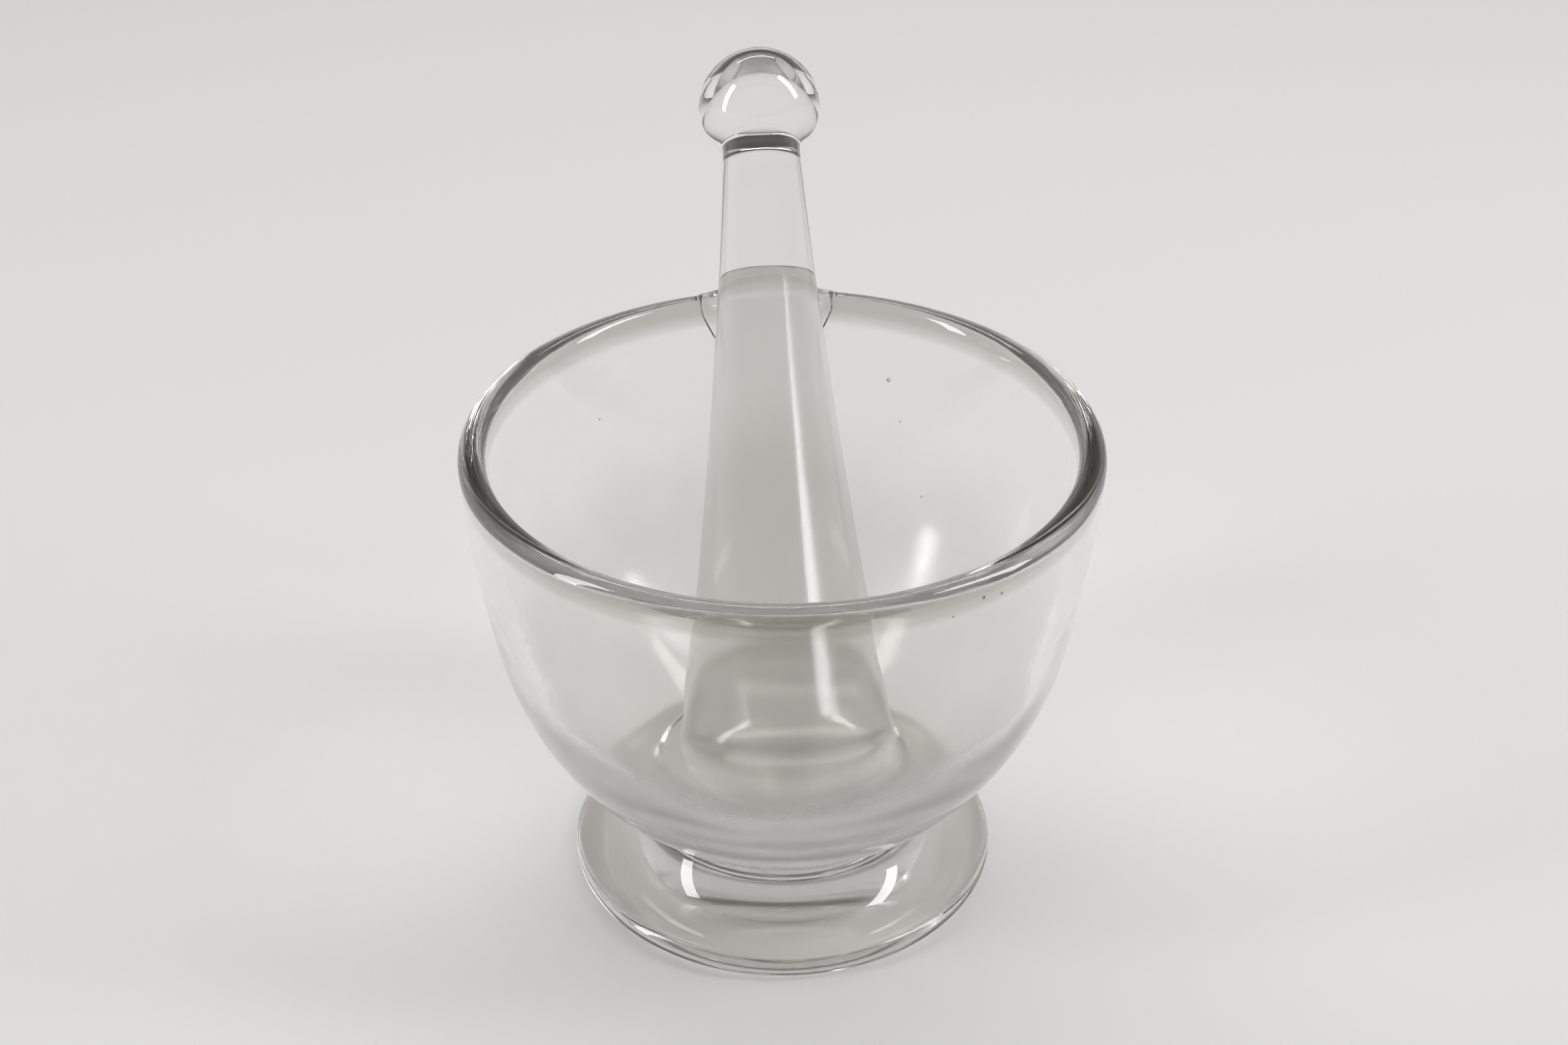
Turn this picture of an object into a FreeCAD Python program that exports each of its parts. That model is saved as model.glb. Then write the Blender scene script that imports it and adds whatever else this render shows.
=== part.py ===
"""Glass mortar and pestle.

Millimetres, +Z up. The origin is on the mortar's axis, at the middle of its flat base.
The pour spout is at the back of the rim, towards +Y, and the pestle leans in it.
"""
import FreeCAD, Part
import math
import os

Vector = FreeCAD.Vector

# ---- mortar: overall sizes ----
rim_diameter = 110.0        # across the outside of the lip
mortar_height = 90.0        # from the base to the top of the lip
lip_thickness = 4.7         # the lip is a full round of this diameter

# ---- mortar: bowl ----
wall_lean = 2.7             # degrees from upright, just under the lip
wall_radius = 255.0         # the slow curve of the upper wall
belly_lean = 10.5           # degrees from upright where the belly begins
floor_over_neck = 3.5       # glass between the neck and the lowest point inside

# ---- mortar: neck and foot ----
neck_radius = 25.7
neck_height = 14.5          # from the base to where the bowl meets its collar
collar_bead = 2.4           # height of the half-round collar under the bowl
foot_diameter = 78.6
foot_edge = 4.2             # height of the foot's rounded edge

# ---- mortar: pour spout ----
spout_width = 21.0          # across the channel, at the lip
spout_reach = 5.0           # how far the spout's lip stands out past the rim
spout_dip = 1.0             # how far the spout's lip drops below the rim
spout_depth = 27.0          # how far down the wall the channel fades away
spout_tip_radius = 4.0      # radius of the channel at its lower end
spout_lip_thickness = 4.2   # the lip thins a little where it is drawn out
channel_relief = 0.3        # flat left on the inside of the spout's lip
lip_overhang = 0.2          # the spout's lip stands out past the wall under it

# ---- pestle ----
pestle_length = 146.7
knob_diameter = 23.4
knob_crown = 9.8            # the knob's end is flattened to this height over its middle
shaft_top_diameter = 14.6   # just under the knob
shaft_middle_diameter = 21.4
shaft_middle = 54.6         # below the middle of the knob
head_diameter = 37.6
head_cap = 13.5             # height of the rounded grinding end
neck_fillet = 1.6           # between the knob and the shaft

# ---- how the pestle rests ----
pestle_lean = 49.0          # degrees from upright, towards the spout
contact_gap = 0.3           # between pestle and mortar where they would touch

# ---- how finely the shapes are made ----
curve_points = 6            # points that a quarter of an ellipse is drawn through
spout_root = 0.3            # how far into the wall the spout's swelling starts, in lip thicknesses
channel_root = 1.1          # how far in its channel starts, in lip thicknesses
settling_steps = 8          # moves that bring the pestle to rest


def along(centre, radius, degrees):
    """The point of a circle in the X-Z plane, with the angle measured down from +X."""
    turn = math.radians(degrees)
    return Vector(centre.x + radius * math.cos(turn), 0, centre.z - radius * math.sin(turn))


def arc(centre, radius, first, last):
    """The arc between two such angles."""
    return Part.Arc(along(centre, radius, first),
                    along(centre, radius, (first + last) / 2),
                    along(centre, radius, last)).toShape()


def line(start, end):
    return Part.LineSegment(start, end).toShape()


def turned(edges):
    """A solid of revolution about Z from a closed outline in the X-Z plane."""
    face = Part.Face(Part.Wire(edges))
    solid = face.revolve(Vector(0, 0, 0), Vector(0, 0, 1), 360)
    return solid if isinstance(solid, Part.Solid) else Part.Solid(solid.Shells[0])


# ---- places worked out from the sizes ----
lip_radius = lip_thickness / 2
lip_centre = Vector(rim_diameter / 2 - lip_radius, 0, mortar_height - lip_radius)
wall_centre = along(lip_centre, lip_radius - wall_radius, wall_lean)
wall_end = along(wall_centre, wall_radius, belly_lean)
neck = Vector(neck_radius, 0, neck_height)

# the belly is the arc that leaves the wall smoothly and ends at the neck
inward = along(Vector(0, 0, 0), -1.0, belly_lean)
to_wall_end = wall_end - neck
belly_radius = -to_wall_end.dot(to_wall_end) / (2 * inward.dot(to_wall_end))
belly_centre = wall_end + inward * belly_radius
neck_angle = math.degrees(math.asin((belly_centre.z - neck.z) / belly_radius))

# the cavity's lower part is the ellipse that leaves the inner wall smoothly
inner_wall_radius = wall_radius - lip_thickness
inner_wall_end = along(wall_centre, inner_wall_radius, belly_lean)
floor_height = neck_height + floor_over_neck
slope = math.tan(math.radians(belly_lean))
cavity_drop = inner_wall_end.z - floor_height
cavity_sine = cavity_drop * slope / (inner_wall_end.x - cavity_drop * slope)
cavity_half_height = cavity_drop / (1 - cavity_sine)
cavity_half_width = inner_wall_end.x / math.sqrt(1 - cavity_sine ** 2)
cavity_centre_height = floor_height + cavity_half_height

# the foot's hollow curve leaves the rounded edge level and ends under the collar
foot_edge_radius = foot_edge / 2
foot_edge_centre = Vector(foot_diameter / 2 - foot_edge_radius, 0, foot_edge_radius)
cove_width = foot_edge_centre.x - neck_radius
cove_height = neck_height - collar_bead - foot_edge
cove_radius = (cove_width ** 2 + cove_height ** 2) / (2 * cove_height)
cove_centre = Vector(foot_edge_centre.x, 0, foot_edge + cove_radius)
cove_angle = math.degrees(math.asin((cove_radius - cove_height) / cove_radius))


def quarter_ellipse(centre_height, half_width, half_height, first_turn, last_turn):
    """Part of an ellipse on the Z axis; its turn is 0 at its side and 90 degrees at its foot."""
    step = (last_turn - first_turn) / (curve_points - 1)
    turns = [first_turn + step * place for place in range(curve_points)]
    points = [Vector(half_width * math.cos(turn), 0, centre_height - half_height * math.sin(turn))
              for turn in turns]
    ends = [Vector(-half_width * math.sin(turn), 0, -half_height * math.cos(turn))
            for turn in (first_turn, last_turn)]
    curve = Part.BSplineCurve()
    curve.interpolate(Points=points, InitialTangent=ends[0].normalize(), FinalTangent=ends[1].normalize())
    return curve.toShape()


def cavity_ellipse():
    """The lower inside of the bowl, from the inner wall to the axis."""
    return quarter_ellipse(cavity_centre_height, cavity_half_width, cavity_half_height,
                           math.asin(cavity_sine), math.pi / 2)


def make_blank():
    """The mortar without its spout, turned in one piece."""
    base_middle = Vector(0, 0, 0)
    floor_middle = Vector(0, 0, floor_height)
    collar_centre = Vector(neck_radius, 0, neck_height - collar_bead / 2)
    return turned([
        line(base_middle, along(foot_edge_centre, foot_edge_radius, 90)),
        arc(foot_edge_centre, foot_edge_radius, 90, -90),
        arc(cove_centre, cove_radius, 90, 180 - cove_angle),
        arc(collar_centre, collar_bead / 2, 90, -90),
        arc(belly_centre, belly_radius, neck_angle, belly_lean),
        arc(wall_centre, wall_radius, belly_lean, wall_lean),
        arc(lip_centre, lip_radius, wall_lean, wall_lean - 180),
        arc(wall_centre, inner_wall_radius, wall_lean, belly_lean),
        cavity_ellipse(),
        line(floor_middle, base_middle),
    ])


# ---- the spout's lip is part of a ring, tipped down a little towards its front ----
spout_lip_radius = spout_lip_thickness / 2
spout_ring_radius = spout_width / 2 + spout_lip_radius
spout_ring_y = rim_diameter / 2 + spout_reach - spout_lip_radius - spout_ring_radius
corner_y = (lip_centre.x ** 2 + spout_ring_y ** 2 - spout_ring_radius ** 2) / (2 * spout_ring_y)
corner_x = math.sqrt(lip_centre.x ** 2 - corner_y ** 2)
spout_tilt = math.degrees(math.atan2(spout_dip, spout_ring_y + spout_ring_radius - corner_y))
spout_foot_height = mortar_height - spout_depth


def tipped(shape):
    """Tip a level ring or disc about the line through the spout's two corners."""
    shape.rotate(Vector(0, corner_y, lip_centre.z), Vector(1, 0, 0), -spout_tilt)
    return shape


def outside_radius(height):
    """Radius of the bowl's outside at a height on the upper wall."""
    rise = height - wall_centre.z
    return wall_centre.x + math.sqrt(wall_radius ** 2 - rise ** 2)


def spout_cone(top_radius, foot_radius, foot_reach, top_extra):
    """A cone from the spout's ring down to a small circle that ends inside the wall."""
    top = Part.makeCircle(top_radius, Vector(0, spout_ring_y, lip_centre.z), Vector(0, 0, 1))
    foot_centre = Vector(0, foot_reach - foot_radius, spout_foot_height)
    foot = Part.makeCircle(foot_radius, foot_centre, Vector(0, 0, 1))
    wires = [Part.Wire(foot), Part.Wire(tipped(top))]
    cone = Part.makeLoft(wires, True, True)
    if not top_extra:
        return cone
    cap = tipped(Part.makeCylinder(top_radius, top_extra, Vector(0, spout_ring_y, lip_centre.z)))
    return cone.fuse(cap)


def make_spout(blank):
    """Pull a pouring channel out of the back of the rim."""
    wall_foot = outside_radius(spout_foot_height)
    swell = spout_cone(spout_ring_radius + spout_lip_radius - lip_overhang, spout_tip_radius + lip_radius,
                       wall_foot - spout_root * lip_thickness, 0)
    channel = spout_cone(spout_width / 2 + channel_relief, spout_tip_radius,
                         wall_foot - channel_root * lip_thickness, mortar_height)
    ring = tipped(Part.makeTorus(spout_ring_radius, spout_lip_radius,
                                 Vector(0, spout_ring_y, lip_centre.z)))
    lip = ring.cut(Part.makeCylinder(lip_centre.x, 2 * mortar_height))
    inner_core = Part.makeCylinder(lip_centre.x - lip_radius / 2, 2 * mortar_height)
    return blank.fuse(swell.cut(inner_core)).fuse(lip).cut(channel)


def make_pestle():
    """The pestle upright, with the middle of its knob at the origin."""
    knob_radius = knob_diameter / 2
    tip = knob_crown - pestle_length
    shoulder = tip + head_cap
    shaft_top = -math.sqrt(knob_radius ** 2 - (shaft_top_diameter / 2) ** 2)
    join = Vector(shaft_top_diameter / 2, 0, shaft_top)
    side = Part.Arc(join, Vector(shaft_middle_diameter / 2, 0, -shaft_middle),
                    Vector(head_diameter / 2, 0, shoulder)).toShape()
    crown = quarter_ellipse(0, knob_radius, knob_crown, -math.pi / 2, 0)
    knob = arc(Vector(0, 0, 0), knob_radius, 0, math.degrees(math.asin(-shaft_top / knob_radius)))
    cap = quarter_ellipse(shoulder, head_diameter / 2, head_cap, 0, math.pi / 2)
    axis = line(Vector(0, 0, tip), Vector(0, 0, knob_crown))
    pestle = turned([crown, knob, side, cap, axis])
    crease = [edge for edge in pestle.Edges
              if edge.BoundBox.ZLength < 0.01 and abs(edge.BoundBox.ZMax - shaft_top) < 0.01]
    return pestle.makeFillet(neck_fillet, crease)


def gap_between(shape, other):
    return shape.distToShape(other)[0]


def lean_in(pestle, mortar):
    """Lean the pestle in the spout with its head on the bowl, a hair clear of both."""
    leaning = pestle.copy()
    leaning.rotate(Vector(0, 0, 0), Vector(1, 0, 0), -pestle_lean)
    turn = math.radians(pestle_lean)
    down_axis = Vector(0, -math.sin(turn), -math.cos(turn))
    to_spout = Vector(0, math.cos(turn), -math.sin(turn))
    reach = 2 * rim_diameter
    split_height = (spout_foot_height + floor_height) / 2
    upper = mortar.common(Part.makeBox(reach, reach, reach, Vector(-reach / 2, 0, split_height)))
    lower = mortar.common(Part.makeBox(reach, reach, split_height, Vector(-reach / 2, -reach / 2, 0)))
    # start well clear: above the rim and in front of the spout
    lift = shaft_middle_diameter
    start = Vector(0, rim_diameter / 2, mortar_height) - to_spout * lift - down_axis * (shaft_middle + lift)
    leaning.translate(start)
    for _ in range(settling_steps):
        leaning.translate(to_spout * (gap_between(leaning, upper) - contact_gap))
        leaning.translate(down_axis * (gap_between(leaning, lower) - contact_gap))
    print("gap at the spout %.3f, gap in the bowl %.3f"
          % (gap_between(leaning, upper), gap_between(leaning, lower)))
    return leaning


mortar = make_spout(make_blank())
pestle = lean_in(make_pestle(), mortar)

os.makedirs("parts", exist_ok=True)
for name, shape in (("mortar", mortar), ("pestle", pestle)):
    shape.exportStep("parts/%s.step" % name)
    box = shape.optimalBoundingBox(False)
    print("%s: %s, valid %s, %d solid, %.1f cm3, X %.1f..%.1f Y %.1f..%.1f Z %.1f..%.1f" % (
        name, shape.ShapeType, shape.isValid(), len(shape.Solids), shape.Volume / 1000,
        box.XMin, box.XMax, box.YMin, box.YMax, box.ZMin, box.ZMax))
print("belly radius %.1f, overlap %.4f mm3" % (belly_radius, mortar.common(pestle).Volume))
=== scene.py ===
# %% [markdown]
# # A glass mortar and pestle
#
# The mortar is one piece of pressed glass: a deep bowl with a rounded lip, a small pouring
# spout, a collar and a spreading foot. The pestle is a solid glass club with a knob. Both are
# turned shapes, so each is drawn as half an outline and spun round its axis. The parts that
# are not round, such as the spout, are moved into shape afterwards, because that keeps the
# glass one closed skin. Light bends at every skin of glass, so there may be no gap, no
# doubled face and no kink that the real glass does not have.

# %% Load the frame
import bmesh
import bpy
import math
from mathutils import Matrix, Vector, noise


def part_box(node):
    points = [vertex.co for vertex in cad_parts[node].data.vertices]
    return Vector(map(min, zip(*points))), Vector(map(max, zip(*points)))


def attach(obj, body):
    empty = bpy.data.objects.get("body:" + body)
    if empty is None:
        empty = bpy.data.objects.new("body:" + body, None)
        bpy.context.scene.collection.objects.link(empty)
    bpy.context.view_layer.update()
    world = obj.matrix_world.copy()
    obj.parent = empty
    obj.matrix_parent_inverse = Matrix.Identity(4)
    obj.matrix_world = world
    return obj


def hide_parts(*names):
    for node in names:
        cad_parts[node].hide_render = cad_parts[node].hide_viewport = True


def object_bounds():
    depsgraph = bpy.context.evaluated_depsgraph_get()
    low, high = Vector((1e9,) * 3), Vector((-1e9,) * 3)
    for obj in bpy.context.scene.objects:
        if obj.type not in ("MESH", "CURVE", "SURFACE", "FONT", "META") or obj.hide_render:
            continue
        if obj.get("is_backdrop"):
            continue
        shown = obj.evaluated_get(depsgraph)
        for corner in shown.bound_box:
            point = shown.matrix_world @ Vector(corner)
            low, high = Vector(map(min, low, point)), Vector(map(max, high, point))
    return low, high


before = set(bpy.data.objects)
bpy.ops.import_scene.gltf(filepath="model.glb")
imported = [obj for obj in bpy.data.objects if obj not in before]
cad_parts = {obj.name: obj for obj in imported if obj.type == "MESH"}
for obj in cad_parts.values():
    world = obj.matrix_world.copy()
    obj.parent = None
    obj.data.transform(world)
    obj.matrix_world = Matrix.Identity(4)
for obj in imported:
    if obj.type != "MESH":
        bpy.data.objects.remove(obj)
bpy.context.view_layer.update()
print("frame holds", sorted(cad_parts))

# %% [markdown]
# ## Sizes of the mortar
#
# Everything is in metres, in the frame's own axes: Z is up, the mortar's axis is the Z axis,
# and the spout points along +Y. The outermost sizes are read from the frame. The smaller
# ones, such as the thickness of the lip, are given here by name, because the frame only
# tells the corners of each piece.

# %% Sizes of the mortar
MM = 0.001
QUARTER = math.pi / 2
mortar_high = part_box("mortar")[1]
rim_radius = mortar_high.x
spout_tip = mortar_high.y
lip_radius = 2.35 * MM
lip_r = rim_radius - lip_radius
lip_z = 90.0 * MM - lip_radius
wall_lean, belly_lean = math.radians(2.7), math.radians(10.5)
wall_radius = 255.0 * MM
neck_r, neck_z = 25.7 * MM, 14.5 * MM
collar_radius = 1.2 * MM
foot_radius = 39.3 * MM
foot_edge_radius = 2.1 * MM
floor_z = neck_z + 3.5 * MM
print("rim radius %.1f mm, spout reaches %.1f mm" % (rim_radius / MM, spout_tip / MM))

# %% [markdown]
# ## Where the arcs of the outline have their centres
#
# A glass maker thinks of a profile as a few arcs that run smoothly into each other. Two arcs
# do so when they share the direction of their skin at the joint, so each centre follows from
# the arc before it. The angle of a point is measured down from straight outwards: a wall
# that leans by 3 degrees leaves its arc at 3 degrees.


# %% Centres of the arcs
def on_arc(centre, radius, angle):
    """The point of an arc where its skin leans by this angle."""
    return (centre[0] + radius * math.cos(angle), centre[1] - radius * math.sin(angle))


wall_centre = on_arc((lip_r, lip_z), lip_radius - wall_radius, wall_lean)
wall_end = on_arc(wall_centre, wall_radius, belly_lean)
across = (wall_end[0] - neck_r, wall_end[1] - neck_z)
inward = (-math.cos(belly_lean), math.sin(belly_lean))
towards_centre = inward[0] * across[0] + inward[1] * across[1]
belly_radius = -(across[0] ** 2 + across[1] ** 2) / (2 * towards_centre)
belly_centre = (wall_end[0] + inward[0] * belly_radius, wall_end[1] + inward[1] * belly_radius)
neck_angle = math.asin((belly_centre[1] - neck_z) / belly_radius)

foot_centre = (foot_radius - foot_edge_radius, foot_edge_radius)
cove_width = foot_centre[0] - neck_r
cove_height = neck_z - 2 * collar_radius - 2 * foot_edge_radius
cove_radius = (cove_width ** 2 + cove_height ** 2) / (2 * cove_height)
cove_centre = (foot_centre[0], 2 * foot_edge_radius + cove_radius)
cove_end_angle = math.pi - math.asin((cove_radius - cove_height) / cove_radius)

inner_radius = wall_radius - 2 * lip_radius
inner_end = on_arc(wall_centre, inner_radius, belly_lean)
drop = inner_end[1] - floor_z
cavity_sine = drop * math.tan(belly_lean) / (inner_end[0] - drop * math.tan(belly_lean))
cavity_half_height = drop / (1 - cavity_sine)
cavity_half_width = inner_end[0] / math.sqrt(1 - cavity_sine ** 2)
cavity_centre = (0, floor_z + cavity_half_height)
print("belly radius %.1f mm, cavity %.1f by %.1f mm"
      % (belly_radius / MM, cavity_half_width / MM, cavity_half_height / MM))

# %% [markdown]
# ## Drawing an outline and spinning it
#
# An arc is drawn by spinning a single vertex about the arc's centre, and an ellipse by
# scaling such an arc. The chain of arcs is then spun about Z. Steps are closer together
# where the spout will be, so that its corners stay round.


# %% Outline helpers
def draw_arc(bm, centre, radius, first, last, steps, height_scale=1.0):
    """Spin one vertex about a centre in the outline's plane, which is X = 0."""
    start = on_arc(centre, radius, first)
    vertex = bm.verts.new((0, *start))
    bmesh.ops.spin(bm, geom=[vertex], cent=(0, *centre), axis=(1, 0, 0), dvec=(0, 0, 0),
                   angle=first - last, steps=steps, use_merge=False, use_duplicate=False)
    bm.verts.ensure_lookup_table()
    drawn = list(bm.verts)[-steps - 1:]
    bmesh.ops.scale(bm, verts=drawn, vec=(1, 1, height_scale),
                    space=Matrix.Translation((0, -centre[0], -centre[1])))
    return drawn


def draw_line(bm, start, end, steps):
    """A straight run of the outline, cut into equal steps."""
    ends = [bm.verts.new((0, *start)), bm.verts.new((0, *end))]
    run = bm.edges.new(ends)
    bmesh.ops.subdivide_edges(bm, edges=[run], cuts=steps - 1)


def join_chain(bm, reach=0.004 * MM):
    bmesh.ops.remove_doubles(bm, verts=bm.verts, dist=reach)


def spin_outline(bm, sectors):
    """Spin the outline round Z in sectors of (angle, steps) that follow each other."""
    geometry = list(bm.verts) + list(bm.edges)
    for angle, steps in sectors:
        made = bmesh.ops.spin(bm, geom=geometry, cent=(0, 0, 0), axis=(0, 0, 1), dvec=(0, 0, 0),
                              angle=angle, steps=steps, use_merge=False, use_duplicate=False)
        geometry = made["geom_last"]
    join_chain(bm)
    bmesh.ops.recalc_face_normals(bm, faces=bm.faces)


# %% Spin the mortar
bm = bmesh.new()
draw_line(bm, (0, 0), (foot_centre[0], 0), 6)
draw_arc(bm, foot_centre, foot_edge_radius, QUARTER, -QUARTER, 14)
draw_arc(bm, cove_centre, cove_radius, QUARTER, cove_end_angle, 18)
draw_arc(bm, (neck_r, neck_z - collar_radius), collar_radius, QUARTER, -QUARTER, 10)
draw_arc(bm, belly_centre, belly_radius, neck_angle, belly_lean, 44)
draw_arc(bm, wall_centre, wall_radius, belly_lean, wall_lean, 36)
draw_arc(bm, (lip_r, lip_z), lip_radius, wall_lean, wall_lean - math.pi, 22)
draw_arc(bm, wall_centre, inner_radius, wall_lean, belly_lean, 36)
draw_arc(bm, cavity_centre, cavity_half_width, math.asin(cavity_sine), QUARTER, 46,
         cavity_half_height / cavity_half_width)
join_chain(bm)
lowest = min(v.co.z for v in bm.verts if v.co.y < 0.02 * MM and v.co.z > 5 * MM)
print("outline of", len(bm.verts), "points, lowest inside", round(lowest / MM, 2), "mm")
SPOUT_SECTOR = math.radians(22)
spin_outline(bm, [(SPOUT_SECTOR, 50), (2 * math.pi - 2 * SPOUT_SECTOR, 150), (SPOUT_SECTOR, 50)])

# %% [markdown]
# ## The pouring spout
#
# On the real mortar the spout is pinched outwards with a tool while the rim is still soft.
# The wall follows a smaller circle there, which stands out past the rim and fades away down
# the wall. Here each point of the wall is moved with the middle of the wall's thickness, so
# both skins and the lip travel together. The wall keeps its thickness, except that it swells
# a little at the two corners near the lip, where soft glass gathers.

# %% Pull the spout
spout_lip_radius = 2.1 * MM
spout_ring_radius = 10.5 * MM + spout_lip_radius
spout_ring_reach = spout_tip - spout_lip_radius
spout_end_radius = 5.2 * MM
spout_end_z = 63.0 * MM
spout_dip = 1.0 * MM
corner_softness = 0.6 * MM
corner_width, corner_swell, corner_end_z = 1.6 * MM, 0.45, 76 * MM


def ease(share):
    """0 to 1 with a smooth start and end."""
    share = min(1.0, max(0.0, share))
    return share * share * (3 - 2 * share)


def wall_middle(z):
    """Radius of the middle of the wall's thickness at a height."""
    z = min(max(z, wall_end[1]), lip_z)
    return wall_centre[0] + math.sqrt((wall_radius - lip_radius) ** 2 - (z - wall_centre[1]) ** 2)


def spout_circle(turn, z):
    """Radius of the circle that the spout's wall follows, at an angle from the spout."""
    share = (min(z, lip_z) - spout_end_z) / (lip_z - spout_end_z)
    if share <= 0 or abs(turn) > 0.5:
        return 0.0
    ring = spout_end_radius + (spout_ring_radius - spout_end_radius) * share
    end_reach = wall_middle(spout_end_z) - 1.2 * MM
    centre = end_reach + (spout_ring_reach - end_reach) * share - ring
    inside_root = ring ** 2 - (centre * math.sin(turn)) ** 2
    pulled = centre * math.cos(turn) + math.sqrt(inside_root) if inside_root > 0 else 0.0
    return pulled


def spout_gap(turn, z):
    """How far the spout's circle stands out past the bowl's, or falls short of it."""
    return spout_circle(turn, z) - wall_middle(z)


def spout_middle(turn, z):
    """The larger of the two radii, with the corner between them rounded off."""
    gap = min(60.0, max(-60.0, spout_gap(turn, z) / corner_softness))
    return wall_middle(z) + corner_softness * math.log1p(math.exp(gap))


def pull_spout(bm):
    moved = 0
    for v in bm.verts:
        if v.co.z < spout_end_z or v.co.y < 0:
            continue
        turn = math.atan2(v.co.x, v.co.y)
        z, step = v.co.z, 0.002
        here = spout_middle(turn, z)
        slope = (spout_middle(turn + step, z) - spout_middle(turn - step, z)) / (2 * step)
        outwards = Vector((math.sin(turn), math.cos(turn)))
        sideways = Vector((math.cos(turn), -math.sin(turn)))
        normal = (outwards * here - sideways * slope).normalized()
        off_middle = math.hypot(v.co.x, v.co.y) - wall_middle(z)
        corner = math.exp(-(spout_gap(turn, z) / corner_width) ** 2)
        corner *= ease((z - corner_end_z) / (10 * MM))
        off_middle *= 1 + corner_swell * corner
        share = (here - wall_middle(z)) / (spout_ring_reach - lip_r)
        v.co.x, v.co.y = outwards * here + normal * off_middle
        v.co.z -= spout_dip * share * ease((z - spout_end_z) / (lip_z - spout_end_z))
        moved += share > 0.01
    return moved


print("spout moved", pull_spout(bm), "points")

# %% [markdown]
# ## Ripples and seeds in the glass
#
# Pressed glass is never quite even: its skin has faint ripples a few centimetres long, which
# are what makes the highlights inside the bowl wander. They are real shape, though only some
# hundredths of a millimetre high, so the points themselves are moved. Seeds are tiny air
# bubbles trapped in the wall. A bubble is a small sphere whose faces look inwards, because
# its air is inside and the glass outside.


# %% Ripple the skin
def ripple(bm, height, length, low, high):
    """Move points in and out along their normals by soft noise, between two heights."""
    bm.normal_update()
    for v in bm.verts:
        fade = ease((v.co.z - low) / (8 * MM)) * ease((high - v.co.z) / (12 * MM))
        v.co += v.normal * height * fade * noise.noise(v.co / length)


ripple(bm, 0.10 * MM, 18 * MM, neck_z, 92 * MM)
ripple(bm, 0.025 * MM, 7 * MM, neck_z, 88 * MM)
ripple(bm, 0.02 * MM, 15 * MM, 2 * MM, 110 * MM)

# %% Seeds
seeds = [(27.0, 74.0, 0.42), (30.5, 66.0, 0.22), (38.0, 52.0, 0.25), (148.0, 85.6, 0.3),
         (144.0, 84.9, 0.24), (154.0, 84.0, 0.2), (-40.0, 71.0, 0.2), (-118.0, 62.0, 0.25)]
clear_faces = len(bm.faces)
for degrees, height, radius in seeds:
    turn = math.radians(degrees)
    middle = wall_middle(height * MM)
    made = bmesh.ops.create_icosphere(bm, subdivisions=3, radius=radius * MM)
    bmesh.ops.translate(bm, verts=made["verts"],
                        vec=(middle * math.sin(turn), middle * math.cos(turn), height * MM))
    bmesh.ops.reverse_faces(bm, faces=list({f for v in made["verts"] for f in v.link_faces}))
print(len(seeds), "seeds, the largest", max(s[2] for s in seeds) * 2, "mm across")

# %% [markdown]
# ## Glass that bends light
#
# Clear glass is a shader with no roughness and an index of 1.5. Its edges look dark because
# light is bent away there. The lip and the foot are thicker than the wall, and they are given
# a deeper glass colour: painted shade that makes them read dark, though the real glass has
# one colour throughout. Light from a lamp would have to find its way through two bends to
# reach the table, which takes far too many tries, so the shader is swapped for a plain
# see-through one when a shadow is worked out. The inside of the bowl and the lower part of
# the pestle are ground: the skin is rough on the scale of light, so what is behind is
# blurred. The ground parts are also given a greyer, darker colour, which is painted shade.
# The ground part starts at an uneven edge, where the wheel or the grit ran out.


# %% Glass material helpers
def new_material(name):
    material = bpy.data.materials.new(name)
    material.use_nodes = True
    nodes = material.node_tree.nodes
    return material, nodes, material.node_tree.links, nodes["Principled BSDF"], nodes["Material Output"]


def glass(name, colour, shadow):
    """Clear glass: bends light, and lets lamps shine through."""
    material, nodes, links, shader, output = new_material(name)
    shader.inputs["Base Color"].default_value = (*colour, 1)
    shader.inputs["Roughness"].default_value = 0.0
    shader.inputs["IOR"].default_value = 1.5
    shader.inputs["Transmission Weight"].default_value = 1.0
    see_through = nodes.new("ShaderNodeBsdfTransparent")
    see_through.inputs["Color"].default_value = (shadow, shadow, shadow, 1)
    path = nodes.new("ShaderNodeLightPath")
    swap = nodes.new("ShaderNodeMixShader")
    links.new(path.outputs["Is Shadow Ray"], swap.inputs[0])
    links.new(shader.outputs[0], swap.inputs[1])
    links.new(see_through.outputs[0], swap.inputs[2])
    links.new(swap.outputs[0], output.inputs["Surface"])
    return material, nodes, links, shader


def math_node(nodes, links, operation, first, second):
    node = nodes.new("ShaderNodeMath")
    node.operation = operation
    for socket, value in zip(node.inputs, (first, second)):
        if isinstance(value, (int, float)):
            socket.default_value = value
        else:
            links.new(value, socket)
    return node.outputs[0]


def noise_node(nodes, links, vector, scale, detail=2.0):
    node = nodes.new("ShaderNodeTexNoise")
    node.inputs["Scale"].default_value = scale
    node.inputs["Detail"].default_value = detail
    links.new(vector, node.inputs["Vector"])
    return node.outputs["Fac"]


def two_colours(nodes, links, share, plain, ground):
    node = nodes.new("ShaderNodeMix")
    node.data_type = "RGBA"
    for socket, colour in ((node.inputs[6], plain), (node.inputs[7], ground)):
        if isinstance(colour, tuple):
            socket.default_value = (*colour, 1)
        else:
            links.new(colour, socket)
    links.new(share, node.inputs[0])
    return node.outputs[2]


def range_node(nodes, links, value, low, high, to_low, to_high):
    node = nodes.new("ShaderNodeMapRange")
    node.interpolation_type = "SMOOTHSTEP"
    links.new(value, node.inputs["Value"])
    for key, number in zip(("From Min", "From Max", "To Min", "To Max"), (low, high, to_low, to_high)):
        node.inputs[key].default_value = number
    return node.outputs["Result"]


GRAIN_DEPTH, GRAIN_SCALE = 0.05 * MM, 2500.0
GROUND_BODY = -0.08


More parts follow.
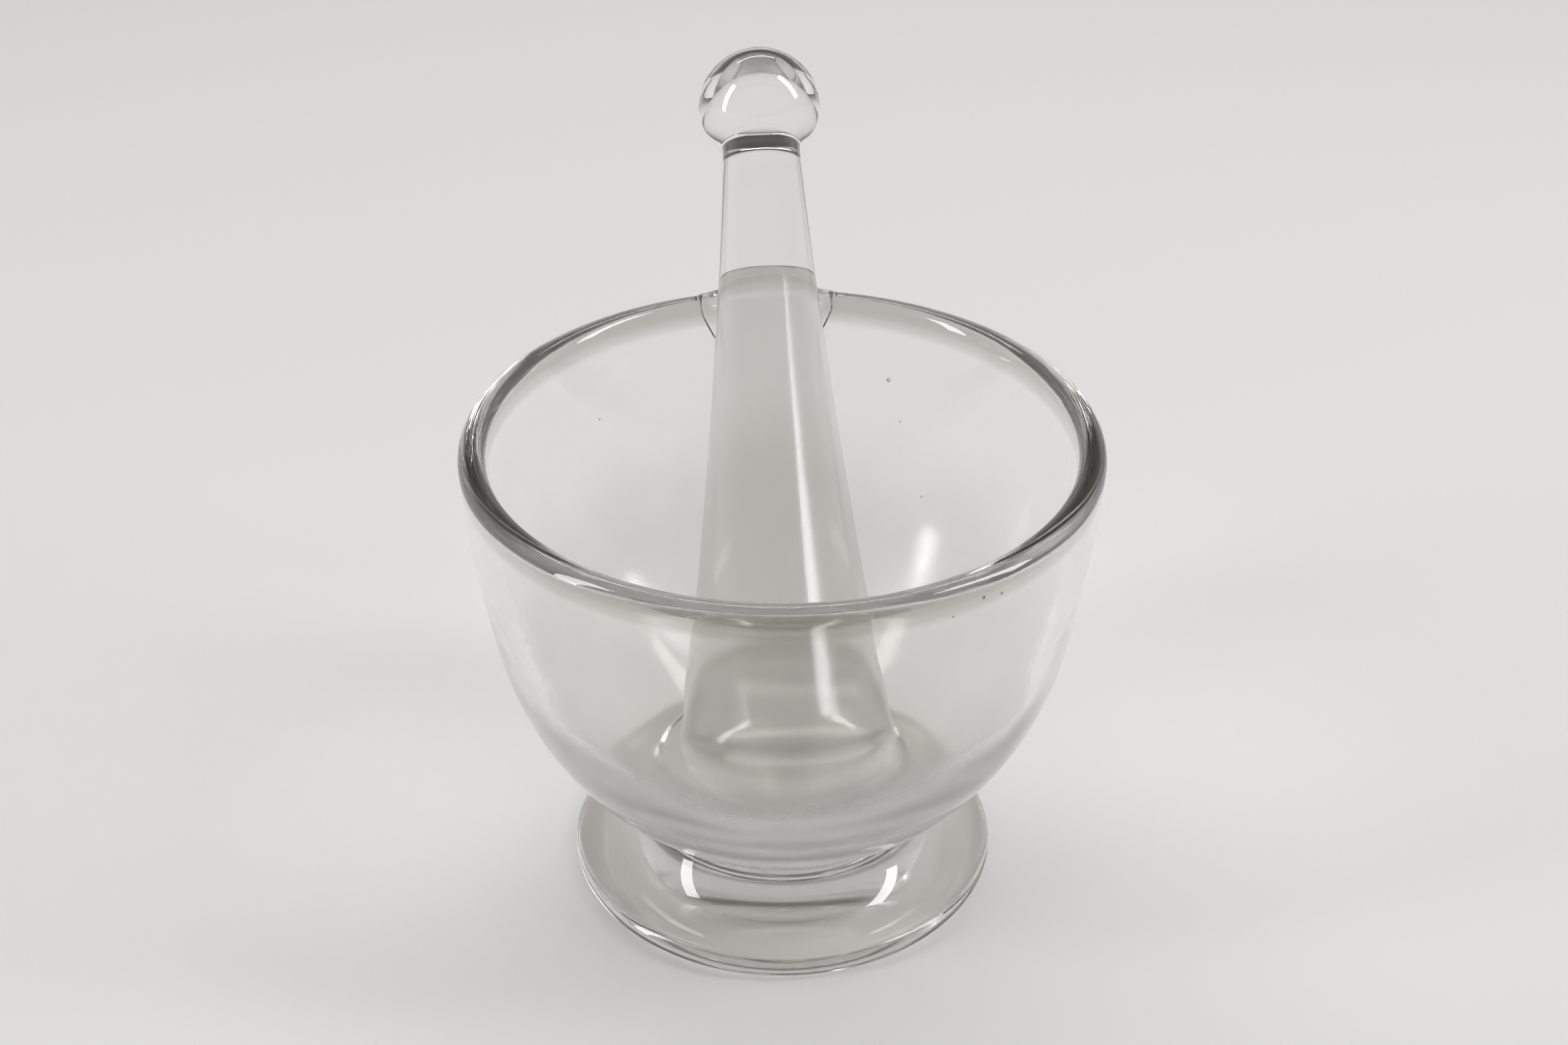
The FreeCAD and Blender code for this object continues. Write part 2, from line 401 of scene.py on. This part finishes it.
def grind(nodes, links, shader, place, ground, roughness, grain_strength):
    """Rough, grainy and a little milky where the share called ground is 1."""
    links.new(math_node(nodes, links, "MULTIPLY", ground, roughness), shader.inputs["Roughness"])
    grain = nodes.new("ShaderNodeBump")
    grain.inputs["Distance"].default_value = GRAIN_DEPTH
    links.new(noise_node(nodes, links, place, GRAIN_SCALE), grain.inputs["Height"])
    strength = math_node(nodes, links, "MULTIPLY", ground, grain_strength)
    links.new(strength, grain.inputs["Strength"])
    links.new(grain.outputs[0], shader.inputs["Normal"])
    body = math_node(nodes, links, "MULTIPLY", ground, GROUND_BODY)
    links.new(math_node(nodes, links, "ADD", body, 1.0), shader.inputs["Transmission Weight"])


GLASS_COLOUR = (0.985, 0.980, 0.970)
# painted shade: the ground glass in the bowl is given a darker grey than the clear glass
BOWL_GROUND_PAINTED_SHADE = (0.72, 0.705, 0.68)
# painted shade: darker colours for the lip and the foot, not a colour of the glass
LIP_PAINTED_SHADE, FOOT_PAINTED_SHADE = (0.64, 0.62, 0.59), (0.81, 0.795, 0.77)
FOOT_TOP, FOOT_FADE = 13 * MM, 5 * MM
LIP_FROM, LIP_FADE = lip_z - 3.5 * MM, 2 * MM
CLEAR_SHADOW, BOWL_SHADOW, PESTLE_SHADOW = 0.70, 0.68, 0.74


def glass_or_painted_shade(nodes, links, height):
    """Plain glass colour, with painted shade that darkens the foot and the lip; the glass is thickest
    there but has one colour throughout.
    """
    foot = range_node(nodes, links, height, FOOT_TOP, FOOT_TOP + FOOT_FADE, 1.0, 0.0)
    lip = range_node(nodes, links, height, LIP_FROM, LIP_FROM + LIP_FADE, 0.0, 1.0)
    plain_or_foot_shade = two_colours(nodes, links, foot, GLASS_COLOUR, FOOT_PAINTED_SHADE)
    return two_colours(nodes, links, lip, plain_or_foot_shade, LIP_PAINTED_SHADE)


clear_glass, nodes, links, shader = glass("clear_glass", GLASS_COLOUR, CLEAR_SHADOW)
split = nodes.new("ShaderNodeSeparateXYZ")
links.new(nodes.new("ShaderNodeTexCoord").outputs["Object"], split.inputs[0])
# the lip and the foot of the clear glass get painted shade
links.new(glass_or_painted_shade(nodes, links, split.outputs["Z"]), shader.inputs["Base Color"])

# %% Ground glass inside the bowl
GROUND_TOP, GROUND_SOFTNESS = 62 * MM, 14 * MM
BOWL_ROUGHNESS, BOWL_GRAIN = 0.16, 0.25
bowl_ground, nodes, links, shader = glass("ground_inside_of_bowl", GLASS_COLOUR, BOWL_SHADOW)
place = nodes.new("ShaderNodeTexCoord").outputs["Object"]
split = nodes.new("ShaderNodeSeparateXYZ")
links.new(place, split.inputs[0])
wander = math_node(nodes, links, "MULTIPLY", noise_node(nodes, links, place, 60.0), 10 * MM)
edge = math_node(nodes, links, "ADD", split.outputs["Z"], wander)
ground = range_node(nodes, links, edge,
                    GROUND_TOP - GROUND_SOFTNESS, GROUND_TOP + GROUND_SOFTNESS, 1.0, 0.0)
grind(nodes, links, shader, place, ground, BOWL_ROUGHNESS, BOWL_GRAIN)
# painted shade on the lip and foot, and a darker grey with painted shade where the bowl is ground
plain = glass_or_painted_shade(nodes, links, split.outputs["Z"])
links.new(two_colours(nodes, links, ground, plain, BOWL_GROUND_PAINTED_SHADE), shader.inputs["Base Color"])
print("bowl ground below", GROUND_TOP / MM, "mm")


# %% Make the mortar's object
def finish_piece(bm, name, materials):
    """Shade the skin smooth, give it its finishes and make the object."""
    mesh = bpy.data.meshes.new(name)
    bm.to_mesh(mesh)
    bm.free()
    mesh.shade_smooth()
    for material in materials:
        mesh.materials.append(material)
    piece = bpy.data.objects.new(name, mesh)
    bpy.context.scene.collection.objects.link(piece)
    print(name, "has", sum(len(p.vertices) - 2 for p in mesh.polygons), "triangles")
    return piece


inside = 0
bm.faces.ensure_lookup_table()
for face in list(bm.faces)[:clear_faces]:
    middle = face.calc_center_median()
    in_bowl = floor_z - 1 * MM < middle.z < lip_z
    inner_skin = math.hypot(middle.x, middle.y) < wall_middle(middle.z) - 0.5 * lip_radius
    from_above = Vector((middle.x, middle.y, middle.z - 150 * MM))
    if in_bowl and inner_skin and face.normal.dot(from_above) < 0:
        face.material_index = 1
        inside += 1
print(inside, "faces inside")
mortar = finish_piece(bm, "mortar_glass", [clear_glass, bowl_ground])
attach(mortar, "mortar")
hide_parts("mortar")

# %% [markdown]
# ## The pestle
#
# The pestle is drawn upright with the middle of its knob at the origin, spun, and then
# leaned into the spout about that point. The knob is a ball whose end was flattened while
# soft, a little out of square. A small fillet runs from the knob to the shaft, and the
# shaft flares in one long arc to the rounded grinding head.

# %% Spin the pestle
knob_radius = 11.7 * MM
knob_top = 9.8 * MM
knob_crown = 8.7 * MM
crown_tilt = 0.26
pestle_length = 146.7 * MM
shaft_top_r, shaft_mid_r, head_r = 7.3 * MM, 10.7 * MM, 18.8 * MM
shaft_mid = 54.6 * MM
head_cap = 13.5 * MM
neck_fillet = 1.6 * MM
pestle_lean = math.radians(49.0)


def circle_through(a, b, c):
    """Centre and radius of the circle through three points."""
    d = 2 * (a[0] * (b[1] - c[1]) + b[0] * (c[1] - a[1]) + c[0] * (a[1] - b[1]))
    squares = [p[0] ** 2 + p[1] ** 2 for p in (a, b, c)]
    x = (squares[0] * (b[1] - c[1]) + squares[1] * (c[1] - a[1]) + squares[2] * (a[1] - b[1])) / d
    y = (squares[0] * (c[0] - b[0]) + squares[1] * (a[0] - c[0]) + squares[2] * (b[0] - a[0])) / d
    return (x, y), math.hypot(a[0] - x, a[1] - y)


def angle_at(centre, point):
    """The angle of a point on an arc, measured down from straight outwards."""
    return math.atan2(centre[1] - point[1], point[0] - centre[0])


tip_z = knob_top - pestle_length
shoulder_z = tip_z + head_cap
join_z = -math.sqrt(knob_radius ** 2 - shaft_top_r ** 2)
shaft_centre, shaft_arc = circle_through(
    (shaft_top_r, join_z), (shaft_mid_r, -shaft_mid), (head_r, shoulder_z))
# the fillet touches the ball and the shaft, so its centre is off both by its own radius
ball_off, shaft_off = knob_radius + neck_fillet, shaft_arc - neck_fillet
gap = math.hypot(*shaft_centre)
along = (ball_off ** 2 - shaft_off ** 2 + gap ** 2) / (2 * gap)
aside = math.sqrt(ball_off ** 2 - along ** 2)
to_shaft = (shaft_centre[0] / gap, shaft_centre[1] / gap)
both_sides = [(to_shaft[0] * along - side * to_shaft[1] * aside,
               to_shaft[1] * along + side * to_shaft[0] * aside) for side in (1, -1)]
fillet_centre = min(both_sides, key=lambda c: abs(c[1] - join_z))
on_ball = (fillet_centre[0] * knob_radius / ball_off, fillet_centre[1] * knob_radius / ball_off)
away = (fillet_centre[0] - shaft_centre[0], fillet_centre[1] - shaft_centre[1])
on_shaft = (shaft_centre[0] + away[0] * shaft_arc / shaft_off,
            shaft_centre[1] + away[1] * shaft_arc / shaft_off)
print("neck fillet from %.1f to %.1f mm under the knob's middle" % (-on_ball[1] / MM, -on_shaft[1] / MM))
first, last = angle_at(shaft_centre, on_shaft), angle_at(shaft_centre, (head_r, shoulder_z))
last += 2 * math.pi if last < 0 else 0
first += 2 * math.pi if first < 0 else 0

bm = bmesh.new()
draw_arc(bm, (0, 0), knob_radius, -QUARTER, 0, 26, knob_crown / knob_radius)
draw_arc(bm, (0, 0), knob_radius, 0, angle_at((0, 0), on_ball), 22)
fillet_ends = [angle_at(fillet_centre, end) for end in (on_ball, on_shaft)]
fillet_ends = [end + 2 * math.pi * (end < 0) for end in fillet_ends]
draw_arc(bm, fillet_centre, neck_fillet, *fillet_ends, 8)
draw_arc(bm, shaft_centre, shaft_arc, first, last, 80)
draw_arc(bm, (0, shoulder_z), head_r, 0, QUARTER, 32, head_cap / head_r)
join_chain(bm)
ends = sum(len(v.link_edges) == 1 for v in bm.verts)
print("pestle outline of", len(bm.verts), "points,", ends, "ends")
geometry = list(bm.verts) + list(bm.edges)
bmesh.ops.spin(bm, geom=geometry, cent=(0, 0, 0), axis=(0, 0, 1), dvec=(0, 0, 0), angle=2 * math.pi,
               steps=144, use_merge=True, use_duplicate=False)
join_chain(bm)
bmesh.ops.recalc_face_normals(bm, faces=bm.faces)
ripple(bm, 0.04 * MM, 14 * MM, -1.0, 0.0)

# the flattened end is not quite square to the shaft
for v in bm.verts:
    if v.co.z > 0:
        v.co.z *= 1 - crown_tilt * v.co.y / knob_crown

# %% Lean the pestle in the spout
lean = Matrix.Rotation(-pestle_lean, 3, "X")
bmesh.ops.rotate(bm, verts=bm.verts, cent=(0, 0, 0), matrix=lean)
# the head sets the low side and the front, so the pestle is placed from there
low = Vector([min(v.co[k] for v in bm.verts) for k in range(3)])
cad_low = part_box("pestle")[0]
knob_middle = Vector((0, cad_low.y - low.y, cad_low.z - low.z))
bmesh.ops.translate(bm, verts=bm.verts, vec=knob_middle)
print("knob's middle at", [round(c / MM, 1) for c in knob_middle], "mm")

# %% Ground glass on the pestle
PESTLE_GROUND = 39.3 * MM
# painted shade: the ground part of the pestle is given a darker grey than the clear glass
PESTLE_GROUND_PAINTED_SHADE = (0.80, 0.79, 0.77)
PESTLE_EDGE = 0.8 * MM
PESTLE_ROUGHNESS, PESTLE_GRAIN = 0.15, 0.2
pestle_finish, nodes, links, shader = glass("pestle_glass_part_ground", GLASS_COLOUR, PESTLE_SHADOW)
own = nodes.new("ShaderNodeMapping")
own.vector_type = "TEXTURE"
own.inputs["Location"].default_value = knob_middle
own.inputs["Rotation"].default_value = (-pestle_lean, 0, 0)
links.new(nodes.new("ShaderNodeTexCoord").outputs["Object"], own.inputs[0])
place = own.outputs[0]
split = nodes.new("ShaderNodeSeparateXYZ")
links.new(place, split.inputs[0])
wander = math_node(nodes, links, "MULTIPLY", noise_node(nodes, links, place, 400.0), 0.9 * MM)
edge = math_node(nodes, links, "ADD", split.outputs["Z"], wander)
ground = range_node(nodes, links, edge, -PESTLE_GROUND, -PESTLE_GROUND + PESTLE_EDGE, 1.0, 0.0)
grind(nodes, links, shader, place, ground, PESTLE_ROUGHNESS, PESTLE_GRAIN)
plain_or_ground = two_colours(nodes, links, ground, GLASS_COLOUR, PESTLE_GROUND_PAINTED_SHADE)
links.new(plain_or_ground, shader.inputs["Base Color"])

pestle = finish_piece(bm, "pestle_glass", [pestle_finish])
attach(pestle, "pestle")
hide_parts("pestle")

# %% [markdown]
# ## Floor and light
#
# Glass shows the room more than itself. The room here is pale low down and dimmer overhead,
# so that edges which bend the view upwards come out dark, as they do indoors. Two tall
# windows at the sides and a wide low one high at the back give the sharp streaks on the
# lip, the knob and the foot. A large soft lamp overhead lights the floor. It is hidden from
# the glass, which would otherwise mirror it as one big white patch.

# %% Floor
FLOOR_DROP, FLOOR_HALF = 0.05 * MM, 4.0
FLOOR_COLOUR = (0.8, 0.8, 0.8)
bm = bmesh.new()
bmesh.ops.create_grid(bm, x_segments=1, y_segments=1, size=FLOOR_HALF)
bmesh.ops.translate(bm, verts=bm.verts, vec=(0, 0, -FLOOR_DROP))
floor_finish, nodes, links, shader, output = new_material("pale_floor")
shader.inputs["Base Color"].default_value = (*FLOOR_COLOUR, 1)
shader.inputs["Roughness"].default_value = 0.9
floor = finish_piece(bm, "floor", [floor_finish])
floor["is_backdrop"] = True

# %% Room light
DIM_ROOM, PALE_ROOM = (0.085, 0.077, 0.066), (0.74, 0.735, 0.73)
world = bpy.data.worlds.new("room")
bpy.context.scene.world = world
world.use_nodes = True
nodes, links = world.node_tree.nodes, world.node_tree.links
split = nodes.new("ShaderNodeSeparateXYZ")
links.new(nodes.new("ShaderNodeTexCoord").outputs["Generated"], split.inputs[0])
height = range_node(nodes, links, split.outputs["Z"], 0.12, 0.62, 1.0, 0.0)
front = range_node(nodes, links, split.outputs["Y"], -0.25, 0.2, 0.0, 1.0)
pale = math_node(nodes, links, "MULTIPLY", height, front)
room = two_colours(nodes, links, pale, DIM_ROOM, PALE_ROOM)
links.new(room, nodes["Background"].inputs["Color"])


def towards(turn, rise):
    """Direction at an angle round from +Y towards +X, and an angle up from level."""
    across, along = math.sin(turn) * math.cos(rise), math.cos(turn) * math.cos(rise)
    return Vector((across, along, math.sin(rise)))


def window(name, azimuth, elevation, wide, high, power, distance=1.2):
    """A rectangular lamp in a direction, its width and height given as angles."""
    direction = towards(math.radians(azimuth), math.radians(elevation))
    lamp = bpy.data.lights.new(name, "AREA")
    lamp.shape = "RECTANGLE"
    lamp.size, lamp.size_y = (2 * distance * math.tan(math.radians(a) / 2) for a in (wide, high))
    lamp.energy = power
    rig = bpy.data.objects.new(name, lamp)
    rig.location = direction * distance + Vector((0, 0, 70 * MM))
    rig.rotation_euler = direction.to_track_quat("Z", "Y").to_euler()
    bpy.context.scene.collection.objects.link(rig)
    return rig


window("left_window", -105, 22, 9, 46, 7.0)
window("right_window", 100, 38, 9, 44, 7.0)
window("back_window", -5, 54, 44, 5, 2.0)
softbox = window("softbox", 0, 64, 60, 60, 5.6)
softbox.visible_glossy = softbox.visible_transmission = False

# %% Camera
camera_data = bpy.data.cameras.new("camera")
camera_data.lens, camera_data.sensor_width = 50.5, 36.0
camera = bpy.data.objects.new("camera", camera_data)
azimuth, elevation, distance = math.radians(-3.3), math.radians(30.4), 375.4 * MM
away_from_it = towards(math.pi - azimuth, elevation)
camera.location = Vector((0, 0, lip_z)) + away_from_it * distance
aim = Vector((0.3 * MM, 0, 71.3 * MM)) - camera.location
camera.rotation_euler = aim.to_track_quat("-Z", "Y").to_euler()
bpy.context.scene.collection.objects.link(camera)
bpy.context.scene.camera = camera
# light is reflected many times inside a thick lip, and fewer bounces leave it black
light_paths = bpy.context.scene.cycles
light_paths.glossy_bounces = light_paths.transmission_bounces = 16
light_paths.max_bounces = 24
bpy.context.scene.view_settings.view_transform = "Standard"

# %% Finish
low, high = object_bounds()
